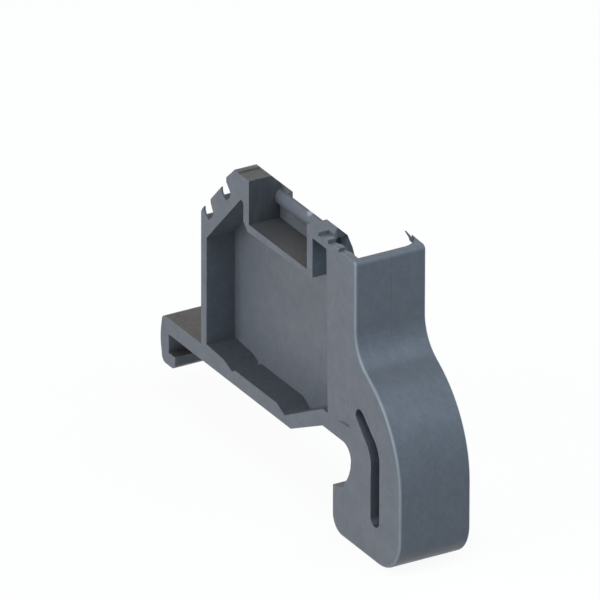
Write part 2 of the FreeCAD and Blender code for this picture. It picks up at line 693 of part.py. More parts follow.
def cut_block_step(body):
    """The shallow step that leaves a ridge on the left of the block's top."""
    top = size("top_height")
    step = size("block_step")
    start = size("block_reach") + size("block_chamfer") + size("block_ridge")
    end = size("block_end") + size("block_back_reach") / 2
    outline = Profile()
    outline.to(across(start), top - step)
    outline.to(across(end), top - step)
    outline.to(across(end), top + step)
    outline.to(across(start), top + step)
    sketch = outline.place(body, "step_outline", "XZ_Plane", size("thickness") / 2)
    return pocket(body, sketch, "block_ridge", size("thickness") / 2)


def add_spur(body):
    """The thin spur left standing at the rim's far end, flush with the back."""
    end = size("grip_reach") - size("skin_outer") - size("hollow_sweep")
    rim = size("top_height") - size("rim_fall")
    length = size("spur_length")
    outline = Profile()
    outline.to(across(end + length * 0.75), rim - length * 0.28)
    outline.to(across(end + length / 8), rim - length * 0.28)
    outline.to(across(end - length), rim - length / 16)
    outline.to(across(end - length * 0.62), rim - length * 0.27)
    outline.to(across(end - length * 0.28), rim - length * 0.43)
    outline.to(across(end - length / 8), rim - length * 0.68)
    outline.to(across(end + length * 0.75), rim - length * 0.68)
    sketch = outline.place(body, "spur_outline", "XZ_Plane", -size("thickness") / 2)
    return pad(body, sketch, "rim_spur", size("spur_thickness"))


def check(document, body):
    """Stop unless every feature was built and the body is one sound solid."""
    for item in document.Objects:
        if any(state in ("Invalid", "Error") for state in item.State):
            raise RuntimeError(f"{item.Name} was not built: {item.State}")
    if body.Shape.isNull() or not body.Shape.isValid():
        raise RuntimeError("the end stop has no valid shape")
    if len(body.Shape.Solids) != 1:
        raise RuntimeError(f"the end stop fell into {len(body.Shape.Solids)} pieces")


def build(document):
    """Build the end stop, check it and write it out."""
    body = document.addObject("PartDesign::Body", "end_stop")
    body.Label = "end_stop"
    body.Placement = FreeCAD.Placement(FreeCAD.Vector(0, 0, 0), FreeCAD.Rotation())
    add_frame(body)
    bevel_block_back(body)
    bevel_web_back(body)
    cut_main_pocket(body)
    cut_marker_recess(body)
    add_toothed_flange(body)
    cut_notch(body, "lower_notch", size("notch_reach"), size("lower_overhang"))
    upper = size("notch_reach") + size("notch_pitch")
    cut_notch(body, "upper_notch", upper, size("upper_overhang"))
    cut_block_step(body)
    foot = add_foot(body)
    document.recompute()
    front = round_grip_edge(body, foot, "front_edge", 0, "edge_round")
    document.recompute()
    round_grip_edge(body, front, "back_edge", size("thickness"), "back_round")
    add_wedge(body)
    cut_hollow(body)
    add_spur(body)
    cut_core(body)
    cut_spring_slot(body)
    cut_ticks(body)
    document.recompute()
    check(document, body)
    os.makedirs("parts", exist_ok=True)
    body.Shape.exportStep("parts/end_stop.step")


build(DOCUMENT)
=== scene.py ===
import logging
import math
from dataclasses import dataclass, field
from enum import Enum
from typing import Dict, Iterable, List, Optional, Tuple

import bpy
from mathutils import Matrix, Vector


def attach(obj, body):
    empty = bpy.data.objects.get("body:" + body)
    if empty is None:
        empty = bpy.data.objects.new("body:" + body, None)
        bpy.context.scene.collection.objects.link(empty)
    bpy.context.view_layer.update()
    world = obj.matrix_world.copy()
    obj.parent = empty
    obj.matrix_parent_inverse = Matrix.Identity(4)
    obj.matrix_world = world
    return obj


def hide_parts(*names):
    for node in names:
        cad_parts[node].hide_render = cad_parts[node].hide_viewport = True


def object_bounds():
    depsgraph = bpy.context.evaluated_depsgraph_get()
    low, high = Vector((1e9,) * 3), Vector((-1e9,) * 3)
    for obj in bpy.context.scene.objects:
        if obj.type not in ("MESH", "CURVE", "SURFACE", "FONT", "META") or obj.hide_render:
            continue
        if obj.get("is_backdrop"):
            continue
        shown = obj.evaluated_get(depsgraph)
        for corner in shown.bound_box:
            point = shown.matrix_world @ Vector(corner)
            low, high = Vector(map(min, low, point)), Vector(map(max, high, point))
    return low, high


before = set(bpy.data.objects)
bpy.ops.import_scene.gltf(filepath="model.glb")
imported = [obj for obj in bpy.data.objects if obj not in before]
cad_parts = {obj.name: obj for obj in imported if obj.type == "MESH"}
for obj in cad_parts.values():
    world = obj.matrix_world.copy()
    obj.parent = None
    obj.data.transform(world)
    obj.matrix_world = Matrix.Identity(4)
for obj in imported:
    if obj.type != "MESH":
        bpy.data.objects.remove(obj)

LOG = logging.getLogger("end_stop")
MM = 0.001
# The face attribute that holds each face's share of the painted highlight on the rounded edges.
HIGHLIGHT = "painted_highlight"

# A Mix node's colour sockets, by number: its numbers and vectors have sockets of the same names.
MIX_FIRST = 6
MIX_SECOND = 7
MIX_RESULT = 2

# The front pocket, the marker recess, the corner block and the rim beside the grip, which bound
# the dusting and painted shade on faces that look up and the painted shade in the recess.
POCKET_LEFT = -9.5 * MM
POCKET_ROOF = 15.5 * MM
RECESS_LEFT = -1.5 * MM
RECESS_RIGHT = 7.5 * MM
RECESS_BACK = -0.3 * MM
RECESS_FLOOR = 15.9 * MM
BLOCK_TOP = 23.75 * MM
RIM_LEVEL = 20.5 * MM

Colour = Tuple[float, float, float]
Point = Tuple[float, float, float]
Span = Tuple[float, float]
EdgeKey = Tuple[int, int]


class LampSide(Enum):
    """Where a lamp stands round the end stop, as a direction from it."""

    FRONT = (-0.12, -1.0, 0.3)
    RIGHT = (0.34, -0.15, 0.93)
    FAR_RIGHT = (0.75, 0.42, 0.7)
    BACK = (-0.35, 1.0, 0.2)


def deselect_all() -> None:
    """Leave edit mode and deselect every object."""
    if bpy.context.object is not None and bpy.context.object.mode != "OBJECT":
        bpy.ops.object.mode_set(mode="OBJECT")
    bpy.ops.object.select_all(action="DESELECT")


def take(piece: bpy.types.Object) -> None:
    """Select one piece only and make it active.

    Args:
        piece: the object that the next operators act on.
    """
    deselect_all()
    piece.select_set(True)
    bpy.context.view_layer.objects.active = piece


def copy_of(node: bpy.types.Object, name: str) -> bpy.types.Object:
    """Copy a node with a mesh of its own.

    Args:
        node: the object to copy.
        name: the name of the copy.

    Returns:
        The copy, with no material and no parent.
    """
    piece = bpy.data.objects.new(name, node.data.copy())
    piece.data.name = name
    piece.data.materials.clear()
    bpy.context.scene.collection.objects.link(piece)
    return piece


class Nodes:
    """A short way to place and link shader nodes in one tree."""

    def __init__(self, tree: bpy.types.NodeTree) -> None:
        """Start on an empty tree.

        Args:
            tree: the node tree of a material, a world or a group.
        """
        self.tree = tree
        self.start: Optional[bpy.types.Node] = None
        self.end: Optional[bpy.types.Node] = None
        tree.nodes.clear()

    def add(self, kind: str, **values: object) -> bpy.types.Node:
        """Add a node and set its plain properties.

        Args:
            kind: the node's type name.
            **values: properties of the node.

        Returns:
            The new node.
        """
        node = self.tree.nodes.new(kind)
        for key, value in values.items():
            setattr(node, key, value)
        return node

    def link(self, source: bpy.types.NodeSocket, target: bpy.types.NodeSocket) -> None:
        """Link an output to an input."""
        self.tree.links.new(source, target)

    def feed(self, target: bpy.types.NodeSocket, value: object) -> None:
        """Link an input to an output, or set it to a plain value.

        Args:
            target: the input.
            value: a socket, a number or a colour with its alpha.
        """
        if isinstance(value, bpy.types.NodeSocket):
            self.link(value, target)
        else:
            target.default_value = value

    def math(self, operation: str, first: object, second: object = None,
             clamp: bool = False) -> bpy.types.NodeSocket:
        """Add a Math node.

        Args:
            operation: the Math node's operation.
            first: a socket or a number.
            second: a socket or a number, where the operation takes one.
            clamp: whether the result is kept between 0 and 1.

        Returns:
            The node's output.
        """
        node = self.add("ShaderNodeMath", operation=operation, use_clamp=clamp)
        self.feed(node.inputs[0], first)
        if second is not None:
            self.feed(node.inputs[1], second)
        return node.outputs[0]

    def product(self, *factors: bpy.types.NodeSocket) -> bpy.types.NodeSocket:
        """Multiply several masks, the result kept between 0 and 1.

        Args:
            *factors: the masks.

        Returns:
            Their product.
        """
        result = factors[0]
        for factor in factors[1:]:
            result = self.math("MULTIPLY", result, factor, clamp=True)
        return result

    def blend(self, factor: object, first: object, second: object,
              kind: str = "MIX") -> bpy.types.NodeSocket:
        """Mix two colours.

        Args:
            factor: how much of the second shows, as a socket or a number.
            first: a socket or a plain colour.
            second: a socket or a plain colour.
            kind: the Mix node's blend type.

        Returns:
            The mixed colour.
        """
        node = self.add("ShaderNodeMix", data_type="RGBA", blend_type=kind)
        self.feed(node.inputs[0], factor)
        for index, value in ((MIX_FIRST, first), (MIX_SECOND, second)):
            plain = not isinstance(value, bpy.types.NodeSocket)
            self.feed(node.inputs[index], (*value, 1.0) if plain else value)
        return node.outputs[MIX_RESULT]

    def span(self, value: bpy.types.NodeSocket, low: float, high: float,
             to_low: float = 0.0, to_high: float = 1.0) -> bpy.types.NodeSocket:
        """Map a range of a value to another range, clamped.

        Args:
            value: the value to map.
            low: where the range starts.
            high: where it ends.
            to_low: the result at the start.
            to_high: the result at the end.

        Returns:
            The mapped value.
        """
        node = self.add("ShaderNodeMapRange", clamp=True)
        self.link(value, node.inputs["Value"])
        node.inputs["From Min"].default_value = low
        node.inputs["From Max"].default_value = high
        node.inputs["To Min"].default_value = to_low
        node.inputs["To Max"].default_value = to_high
        return node.outputs["Result"]

    def place(self) -> bpy.types.NodeSocket:
        """Read the place on the piece."""
        return self.add("ShaderNodeTexCoord").outputs["Object"]

    def normal(self) -> bpy.types.NodeSocket:
        """Read which way the surface faces."""
        return self.add("ShaderNodeNewGeometry").outputs["Normal"]

    def axis(self, vector: bpy.types.NodeSocket, letter: str) -> bpy.types.NodeSocket:
        """Take one component of a vector.

        Args:
            vector: the vector.
            letter: X, Y or Z.

        Returns:
            That component.
        """
        parts = self.add("ShaderNodeSeparateXYZ")
        self.link(vector, parts.inputs[0])
        return parts.outputs[letter]

    def noise(self, place: bpy.types.NodeSocket, scale: object, detail: float = 2.0,
              roughness: float = 0.5) -> bpy.types.NodeSocket:
        """Add a noise pattern.

        Args:
            place: the coordinates it is read at.
            scale: how many cells there are in a metre, as a socket or a number.
            detail: how many finer layers it has.
            roughness: how strong those layers are.

        Returns:
            The noise's value.
        """
        node = self.add("ShaderNodeTexNoise", noise_dimensions="3D")
        self.link(place, node.inputs["Vector"])
        self.feed(node.inputs["Scale"], scale)
        node.inputs["Detail"].default_value = detail
        node.inputs["Roughness"].default_value = roughness
        return node.outputs["Fac"]

    def pick_by_ray(self, lighting: bpy.types.Node, background: bpy.types.Node) -> bpy.types.NodeSocket:
        """Show one shader to the rays that light the object and another to those that see past it.

        Args:
            lighting: the shader that lights the object.
            background: the shader for the camera's rays, for gloss and for what is seen through.

        Returns:
            The mixed shader.
        """
        ray = self.add("ShaderNodeLightPath")
        seen = self.math("MAXIMUM", ray.outputs["Is Camera Ray"], ray.outputs["Is Transmission Ray"])
        seen = self.math("MAXIMUM", seen, ray.outputs["Is Glossy Ray"])
        mixed = self.add("ShaderNodeMixShader")
        self.link(seen, mixed.inputs[0])
        self.link(lighting.outputs[0], mixed.inputs[1])
        self.link(background.outputs[0], mixed.inputs[2])
        return mixed.outputs[0]


def new_group(name: str, inputs: Iterable[Tuple[str, float]], outputs: Iterable[str]) -> Nodes:
    """Make a shader node group with named number inputs and outputs.

    Args:
        name: the group's name.
        inputs: each input's name and value at first.
        outputs: the outputs' names.

    Returns:
        The group's nodes, with Group Input and Group Output placed.
    """
    tree = bpy.data.node_groups.new(name, "ShaderNodeTree")
    for label, value in inputs:
        socket = tree.interface.new_socket(name=label, in_out="INPUT", socket_type="NodeSocketFloat")
        socket.default_value = value
    for label in outputs:
        tree.interface.new_socket(name=label, in_out="OUTPUT", socket_type="NodeSocketFloat")
    nodes = Nodes(tree)
    nodes.start = nodes.add("NodeGroupInput")
    nodes.end = nodes.add("NodeGroupOutput")
    return nodes


@dataclass(frozen=True)
class EdgeHighlight:
    """Painted highlight along the rounded outer edges, where light would catch them, a little uneven along
    them.
    """

    patches: float = 700.0
    patch_span: Span = (0.3, 0.7)
    least: float = 0.75

    def group(self) -> bpy.types.NodeTree:
        """Build the group.

        Returns:
            A group that puts out a mask of the painted highlight, 1 on a rounded edge and 0 on a flat face.
        """
        nodes = new_group("painted_edge_highlight", [("Patch", self.patches)], ["Mask"])
        noted = nodes.add("ShaderNodeAttribute", attribute_name=HIGHLIGHT)
        patch = nodes.noise(nodes.place(), nodes.start.outputs["Patch"])
        uneven = nodes.span(patch, *self.patch_span, self.least, 1.0)
        nodes.link(nodes.product(noted.outputs["Fac"], uneven), nodes.end.inputs["Mask"])
        return nodes.tree


@dataclass(frozen=True)
class MouldGrain:
    """The fine grain that a spark-eroded mould leaves, and a slow cloudiness in the plastic."""

    fine: float = 5200.0
    coarse: float = 1500.0
    fine_share: float = 0.6
    grain_detail: float = 3.0
    cloud: float = 520.0
    cloud_detail: float = 4.0
    cloud_span: Span = (0.3, 0.7)
    roughness: float = 0.6

    def group(self) -> bpy.types.NodeTree:
        """Build the group.

        Returns:
            A group that puts out the grain's height and the cloudiness.
        """
        nodes = new_group("mould_grain", [("Fine", self.fine), ("Coarse", self.coarse)], ["Height", "Cloud"])
        place = nodes.place()
        fine, coarse = (
            nodes.noise(place, nodes.start.outputs[label], self.grain_detail, self.roughness)
            for label in ("Fine", "Coarse")
        )
        fine_part = nodes.math("MULTIPLY", fine, self.fine_share)
        coarse_part = nodes.math("MULTIPLY", coarse, 1.0 - self.fine_share)
        nodes.link(nodes.math("ADD", fine_part, coarse_part), nodes.end.inputs["Height"])
        cloud = nodes.noise(place, self.cloud, self.cloud_detail, self.roughness)
        nodes.link(nodes.span(cloud, *self.cloud_span), nodes.end.inputs["Cloud"])
        return nodes.tree


@dataclass(frozen=True)
class DustAndTopShade:
    """Dust and painted shade on faces that look up: thin on the rim, and only a cool painted shade in the
    front pocket.
    """

    level: float = 0.75
    full_level: float = 0.99
    speckles: float = 2600.0
    speckle_detail: float = 4.0
    speckle_span: Span = (0.3, 0.68)
    least: float = 0.7
    rim_fade: float = 0.4 * MM
    rim_loss: float = 0.75
    roof_fade: float = 1.0 * MM
    wall_fade: float = 0.5 * MM

    def group(self) -> bpy.types.NodeTree:
        """Build the group.

        Returns:
            A group that puts out a mask of the dusting and painted shade on upward faces, and one of the
            front pocket, where the painted shade is cool.
        """
        inputs = [("Level", self.level), ("Speckle", self.speckles)]
        nodes = new_group("dust_and_top_shade", inputs, ["Mask", "PocketShade"])
        facing = nodes.add("ShaderNodeMapRange", clamp=True, interpolation_type="SMOOTHSTEP")
        nodes.link(nodes.axis(nodes.normal(), "Z"), facing.inputs["Value"])
        nodes.link(nodes.start.outputs["Level"], facing.inputs["From Min"])
        facing.inputs["From Max"].default_value = self.full_level
        place = nodes.place()
        across, height = nodes.axis(place, "X"), nodes.axis(place, "Z")
        speck = nodes.noise(place, nodes.start.outputs["Speckle"], self.speckle_detail)
        speckle = nodes.span(speck, *self.speckle_span, self.least, 1.0)
        right = nodes.span(across, RECESS_RIGHT, RECESS_RIGHT + self.rim_fade)
        high = nodes.span(height, RIM_LEVEL, RIM_LEVEL + self.rim_fade)
        lost = nodes.math("MULTIPLY", nodes.product(right, high), self.rim_loss)
        kept = nodes.math("SUBTRACT", 1.0, lost)
        nodes.link(nodes.product(facing.outputs["Result"], speckle, kept), nodes.end.inputs["Mask"])
        low = nodes.span(height, POCKET_ROOF - self.roof_fade, POCKET_ROOF, 1.0, 0.0)
        inside = nodes.span(across, POCKET_LEFT - self.wall_fade, POCKET_LEFT)
        nodes.link(nodes.product(low, inside), nodes.end.inputs["PocketShade"])
        return nodes.tree


@dataclass(frozen=True)
class RecessShade:
    """Painted shade on the walls of the marker recess, broken into dark upright streaks and fading to its
    right end.
    """

    streaks: float = 1500.0
    stretch: float = 0.3
    streak_detail: float = 3.0
    streak_span: Span = (0.3, 0.7)
    strength: Span = (0.62, 0.95)
    turned: Span = (-0.6, -0.3)
    floor_fade: float = 0.2 * MM
    wall_fade: Span = (0.1 * MM, 0.05 * MM)
    top_fade: Span = (0.2 * MM, 0.1 * MM)
    back_fade: float = 0.1 * MM

    def group(self) -> bpy.types.NodeTree:
        """Build the group.

        Returns:
            A group that puts out the mask of the streaked painted shade.
        """
        nodes = new_group("painted_recess_shade", [("Fine", self.streaks)], ["Mask"])
        place = nodes.place()
        across, depth, height = (nodes.axis(place, letter) for letter in "XYZ")
        drawn = nodes.add("ShaderNodeMapping")
        nodes.link(place, drawn.inputs["Vector"])
        drawn.inputs["Scale"].default_value = (1.0, 1.0, self.stretch)
        streak = nodes.noise(drawn.outputs["Vector"], nodes.start.outputs["Fine"], self.streak_detail)
        mask = nodes.product(
            nodes.span(height, RECESS_FLOOR - self.floor_fade, RECESS_FLOOR),
            nodes.span(across, RECESS_LEFT - self.wall_fade[0], RECESS_LEFT - self.wall_fade[1]),
            nodes.span(across, RECESS_LEFT, RECESS_RIGHT, 1.0, 0.0),
            nodes.span(height, BLOCK_TOP - self.top_fade[0], BLOCK_TOP - self.top_fade[1], 1.0, 0.0),
            nodes.span(depth, RECESS_BACK, RECESS_BACK + self.back_fade, 1.0, 0.0),
            nodes.span(nodes.axis(nodes.normal(), "Y"), *self.turned),
            nodes.span(streak, *self.streak_span, *self.strength),
        )
        nodes.link(mask, nodes.end.inputs["Mask"])
        return nodes.tree


@dataclass(frozen=True)
class MouldMarks:
    """The mould's own traces, the parting line and a short bowed nick, and a small pale spot."""

    line_width: float = 0.05 * MM
    parting_depth: float = 0.1 * MM
    parting_faces: Span = (0.6, 0.8)
    parting_strength: float = 0.3
    nick_left: Span = (15.83 * MM, 4.87 * MM)
    nick_right: Span = (18.3 * MM, 5.28 * MM)
    nick_bow: float = 0.35 * MM
    nick_swelling: float = 0.5 * MM
    nick_width: float = 0.03 * MM
    nick_edge: Span = (0.45, 1.1)
    nick_closed: float = 0.05
    nick_full: float = 0.8
    nick_faint: float = 0.5
    nick_faces: Span = (-0.9, -0.6)
    pale_spot: Point = (4.6 * MM, -0.52 * MM, 21.98 * MM)
    pale_spot_edge: Span = (0.25 * MM, 0.55 * MM)

    def group(self) -> bpy.types.NodeTree:
        """Build the group.

        Returns:
            A group that puts out a mask of the dark lines and one of the pale spot.
        """
        nodes = new_group("mould_marks", [("Line", self.line_width)], ["Dark", "Pale"])
        place, normal = nodes.place(), nodes.normal()
        dark = nodes.math("MAXIMUM", self.parting(nodes, place, normal), self.nick(nodes, place, normal))
        nodes.link(dark, nodes.end.inputs["Dark"])
        gap = nodes.add("ShaderNodeVectorMath", operation="DISTANCE")
        nodes.link(place, gap.inputs[0])
        gap.inputs[1].default_value = self.pale_spot
        nodes.link(nodes.span(gap.outputs["Value"], *self.pale_spot_edge, 1.0, 0.0), nodes.end.inputs["Pale"])
        return nodes.tree

    def parting(self, nodes: Nodes, place: bpy.types.NodeSocket,
                normal: bpy.types.NodeSocket) -> bpy.types.NodeSocket:
        """Draw the parting line down the outer faces.

        Args:
            nodes: the group's nodes.
            place: the place on the piece.
            normal: which way the surface faces.

        Returns:
            The line's mask.
        """
        off = nodes.math("ABSOLUTE", nodes.math("SUBTRACT", nodes.axis(place, "Y"), self.parting_depth))
        widths_off = nodes.math("DIVIDE", off, nodes.start.outputs["Line"])
        band = nodes.math("SUBTRACT", 1.0, widths_off, clamp=True)
        outer = nodes.span(nodes.axis(normal, "X"), *self.parting_faces, 0.0, self.parting_strength)
        return nodes.product(band, outer)

    def nick(self, nodes: Nodes, place: bpy.types.NodeSocket,
             normal: bpy.types.NodeSocket) -> bpy.types.NodeSocket:
        """Draw the nick above the slot: a bowed stroke that swells to the right and closes.

        Args:
            nodes: the group's nodes.
            place: the place on the piece.
            normal: which way the surface faces.

        Returns:
            The nick's mask.
        """
        along = nodes.span(nodes.axis(place, "X"), self.nick_left[0], self.nick_right[0])
        rise = nodes.math("MULTIPLY", along, self.nick_right[1] - self.nick_left[1])
        bow = nodes.math("MULTIPLY", along, nodes.math("SUBTRACT", 1.0, along))
        bowed = nodes.math("MULTIPLY", bow, self.nick_bow)
        curve = nodes.math("ADD", nodes.math("ADD", rise, self.nick_left[1]), bowed)
        away = nodes.math("ABSOLUTE", nodes.math("SUBTRACT", nodes.axis(place, "Z"), curve))
        closing = nodes.math("SQRT", nodes.math("SUBTRACT", 1.0, along, clamp=True))
        swelling = nodes.math("MULTIPLY", nodes.math("MULTIPLY", along, closing), self.nick_swelling)
        width = nodes.math("ADD", swelling, self.nick_width)
        stroke = nodes.span(nodes.math("DIVIDE", away, width), *self.nick_edge, 1.0, 0.0)
        ends = nodes.span(bow, 0.0, self.nick_closed)
        swell = nodes.span(along, 0.0, self.nick_full, self.nick_faint, 1.0)
        front = nodes.span(nodes.axis(normal, "Y"), *self.nick_faces, 1.0, 0.0)
        return nodes.product(stroke, ends, swell, front)


@dataclass(frozen=True)
class MouldedPolyamide:
    """Matte blue-grey polyamide with a fine mould grain, painted highlights on the rounded edges, a dusting
    and painted shade on upward faces, and painted shade in the marker recess.
    """

    name: str = "moulded_polyamide"
    body: Colour = (0.136, 0.151, 0.177)
    cloudy: Colour = (0.119, 0.134, 0.159)
    # Pale colour of the painted highlight on the rounded edges, also used for the small pale spot.
    highlight_and_spot: Colour = (0.285, 0.33, 0.37)
    # Warm brown for upward faces, a dusting with painted shade on the tops, and cool dark grey for the
    # painted shade in the front pocket.
    dust_and_shade_tone: Colour = (0.062, 0.052, 0.043)
    pocket_shade: Colour = (0.062, 0.067, 0.077)
    # Dark grey for the painted shade in the marker recess and for the mould's dark lines.
    dark_mark_and_shade: Colour = (0.055, 0.058, 0.062)
    roughness: Span = (0.36, 0.48)
    specular: float = 0.25
    grain_depth: float = 0.018 * MM
    grain_strength: float = 0.7
    grain_span: Span = (0.35, 0.65)
    grain_shade: Span = (0.9, 1.1)

    def material(self) -> bpy.types.Material:
        """Build the material.

        Returns:
            The finished material.
        """
        material = bpy.data.materials.new(self.name)
        material.use_nodes = True
        nodes = Nodes(material.node_tree)
        output = nodes.add("ShaderNodeOutputMaterial")
        surface = nodes.add("ShaderNodeBsdfPrincipled")
        surface.inputs["Specular IOR Level"].default_value = self.specular
        nodes.link(surface.outputs[0], output.inputs["Surface"])
        grain = nodes.add("ShaderNodeGroup", node_tree=MouldGrain().group())
        nodes.link(self.colour(nodes, grain), surface.inputs["Base Color"])
        gloss = nodes.span(grain.outputs["Cloud"], 0.0, 1.0, *self.roughness)
        nodes.link(gloss, surface.inputs["Roughness"])
        bump = nodes.add("ShaderNodeBump")
        bump.inputs["Strength"].default_value = self.grain_strength
        bump.inputs["Distance"].default_value = self.grain_depth
        nodes.link(grain.outputs["Height"], bump.inputs["Height"])
        nodes.link(bump.outputs["Normal"], surface.inputs["Normal"])
        return material

    def colour(self, nodes: Nodes, grain: bpy.types.Node) -> bpy.types.NodeSocket:
        """Lay the plastic's shades, the dusting and painted shade on upward faces, the painted shade in the
        recess, the marks and the painted edge highlights over each other.

        Args:
            nodes: the material's nodes.
            grain: the node of the mould's grain.

        Returns:
            The surface's colour.
        """
        edges, dust_and_shade, recess_shade, marks = (
            nodes.add("ShaderNodeGroup", node_tree=effect.group())
            for effect in (EdgeHighlight(), DustAndTopShade(), RecessShade(), MouldMarks())
        )
        tone = nodes.blend(grain.outputs["Cloud"], self.body, self.cloudy)
        speckle = nodes.span(grain.outputs["Height"], *self.grain_span, *self.grain_shade)
        shaded = nodes.blend(1.0, tone, speckle, kind="MULTIPLY")
        # Upward faces get a warm dusting with painted shade, and a cool painted shade in the front pocket.
        dust_and_shade_tint = nodes.blend(dust_and_shade.outputs["PocketShade"], self.dust_and_shade_tone, self.pocket_shade)
        dusted_and_shaded = nodes.blend(dust_and_shade.outputs["Mask"], shaded, dust_and_shade_tint)
        # Painted shade in the marker recess, broken into streaks, then the mould's dark lines in the same
        # dark grey.
        recess_shaded = nodes.blend(recess_shade.outputs["Mask"], dusted_and_shaded, self.dark_mark_and_shade)
        lined = nodes.blend(marks.outputs["Dark"], recess_shaded, self.dark_mark_and_shade)
        # Painted highlight on the rounded edges, and the small pale spot, both in the same pale colour.
        pale = nodes.math("MAXIMUM", edges.outputs["Mask"], marks.outputs["Pale"])
        return nodes.blend(pale, lined, self.highlight_and_spot)


@dataclass
class Moulding:
    """The one-piece end stop, with the small soft edges that the mould leaves.

    A soft edge gets narrower where a face beside it is under edge_room times its width. There is
    none where an end of it is crowded: by an edge shorter than least_edge, or by a face's tip
    sharper than least_corner. A strip is a face of a rounding, narrower than strip_limit, and it
    counts along sides of at least long_share of its longest. The wedge is the thickening along
    the web's foot, and each of its ends slides towards a second point.
    """

    node: str = "end_stop"
    name: str = "end_stop_moulding"
    body: str = "root"
    slot: str = "polyamide"
    weld: float = 0.0005 * MM
    flat_angle: float = math.radians(0.5)
    wedge_ends: Tuple[Tuple[Point, Point], ...] = (
        ((6.1 * MM, -0.989 * MM, 1.272 * MM), (5.5 * MM, -1.014 * MM, 0.95 * MM)),
        ((-5.1 * MM, -0.981 * MM, 1.379 * MM), (-4.9 * MM, -0.987 * MM, 1.3 * MM)),
    )
    wedge_slide: float = 0.98
    wedge_reach: float = 0.01 * MM
    edge_width: float = 0.06 * MM
    edge_steps: int = 2
    edge_angle: float = math.radians(32.0)
    edge_room: float = 3.0
    least_edge: float = 0.3 * MM
    least_corner: float = math.radians(50.0)
    smooth_angle: float = math.radians(35.0)
    strip_limit: float = 0.14 * MM
    long_share: float = 0.5
    strip_turn: float = math.radians(6.0)
    soft_turn: float = math.radians(24.0)
    # The painted highlight on the roundings: full on gentle strips, weaker on sharper soft edges and on
    # roundings that face up.
    soft_highlight: float = 0.7
    least_highlight: float = 0.12
    upright_gain: float = 1.3
    least_across: float = 1e-6
    piece: Optional[bpy.types.Object] = field(default=None, init=False)

    def build(self) -> bpy.types.Object:
        """Model the moulding over its plain solid.

        Returns:
            The finished piece, which stands for the solid.
        """
        self.piece = copy_of(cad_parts[self.node], self.name)
        take(self.piece)
        bpy.ops.object.mode_set(mode="EDIT")
        bpy.ops.mesh.select_all(action="SELECT")
        bpy.ops.mesh.remove_doubles(threshold=self.weld)
        bpy.ops.mesh.customdata_custom_splitnormals_clear()
        bpy.ops.mesh.dissolve_limited(angle_limit=self.flat_angle)
        for corner, target in self.wedge_ends:
            self.run_out_wedge(Vector(corner), Vector(target))
        bpy.ops.object.mode_set(mode="OBJECT")
        self.soften()
        self.mark_edges()
        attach(self.piece, self.body)
        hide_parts(self.node)
        return self.piece

    def run_out_wedge(self, corner: Vector, target: Vector) -> None:
        """Let one end of the wedge run out in a slope.

        Args:
            corner: the wedge's outermost point at that end.
            target: the next point along its foot, towards which the corner slides.
        """
        bpy.ops.mesh.select_all(action="DESELECT")
        bpy.ops.object.mode_set(mode="OBJECT")
        for vertex in self.piece.data.vertices:
            vertex.select = (vertex.co - corner).length < self.wedge_reach
        bpy.ops.object.mode_set(mode="EDIT")
        bpy.ops.transform.translate(value=self.wedge_slide * (target - corner))

    def soften(self) -> None:
        """Round the sharp outer edges a little and even out the shading."""
        self.weigh_edges()
        bevel = self.piece.modifiers.new("soft_edges", "BEVEL")
        bevel.width = self.edge_width
        bevel.segments = self.edge_steps
        bevel.limit_method = "WEIGHT"
        bevel.use_clamp_overlap = False
        take(self.piece)
        bpy.ops.object.modifier_apply(modifier=bevel.name)
        bpy.ops.object.shade_smooth_by_angle(angle=self.smooth_angle)
        even = self.piece.modifiers.new("flat_faces_stay_flat", "WEIGHTED_NORMAL")
        even.mode = "FACE_AREA"
        even.keep_sharp = True
        bpy.ops.object.modifier_apply(modifier=even.name)

    def weigh_edges(self) -> None:
        """Weigh each sharp outer edge by the room for a rounding on the two faces beside it."""
        mesh = self.piece.data
        sides = self.faces_by_edge()
        open_corner = self.open_corners()
        weights = mesh.attributes.new(name="bevel_weight_edge", type="FLOAT", domain="EDGE")
        for edge in mesh.edges:
            first, second = (mesh.polygons[index] for index in sides[edge.key])
            crowded = not all(open_corner[index] for index in edge.vertices)
            if crowded or self.turn_over(first, second, edge.key) < self.edge_angle:
                continue
            room = min(self.width_over(first, edge.key), self.width_over(second, edge.key))
            weights.data[edge.index].value = min(1.0, room / (self.edge_room * self.edge_width))

    def turn_over(self, first: bpy.types.MeshPolygon, second: bpy.types.MeshPolygon, key: EdgeKey) -> float:
        """Measure the turn from one face to the next over the edge they share.

        Args:
            first: the face on one side of the edge.
            second: the face on its other side.
            key: the two points of the edge.

        Returns:
            The angle in radians, below zero where the edge lies in an inner corner.
        """
        ring = list(first.vertices)
        start, end = key
        if ring[(ring.index(start) + 1) % len(ring)] != end:
            start, end = end, start
        along = self.piece.data.vertices[end].co - self.piece.data.vertices[start].co
        turn = first.normal.angle(second.normal, 0.0)
        return turn if first.normal.cross(second.normal).dot(along) > 0.0 else -turn

    def open_corners(self) -> List[bool]:
        """Look at each point for tiny edges and sharp tips, which leave no room for a rounding.

        Returns:
            For each point of the mesh, whether a rounding has room there.
        """
        mesh = self.piece.data
        open_corner = [True] * len(mesh.vertices)
        for face in mesh.polygons:
            ring = list(face.vertices)
            for before, here, after in zip(ring[-1:] + ring[:-1], ring, ring[1:] + ring[:1]):
                back = mesh.vertices[before].co - mesh.vertices[here].co
                ahead = mesh.vertices[after].co - mesh.vertices[here].co
                tiny = min(back.length, ahead.length) < self.least_edge
                if tiny or back.angle(ahead, math.pi) < self.least_corner:
                    open_corner[here] = False
        return open_corner

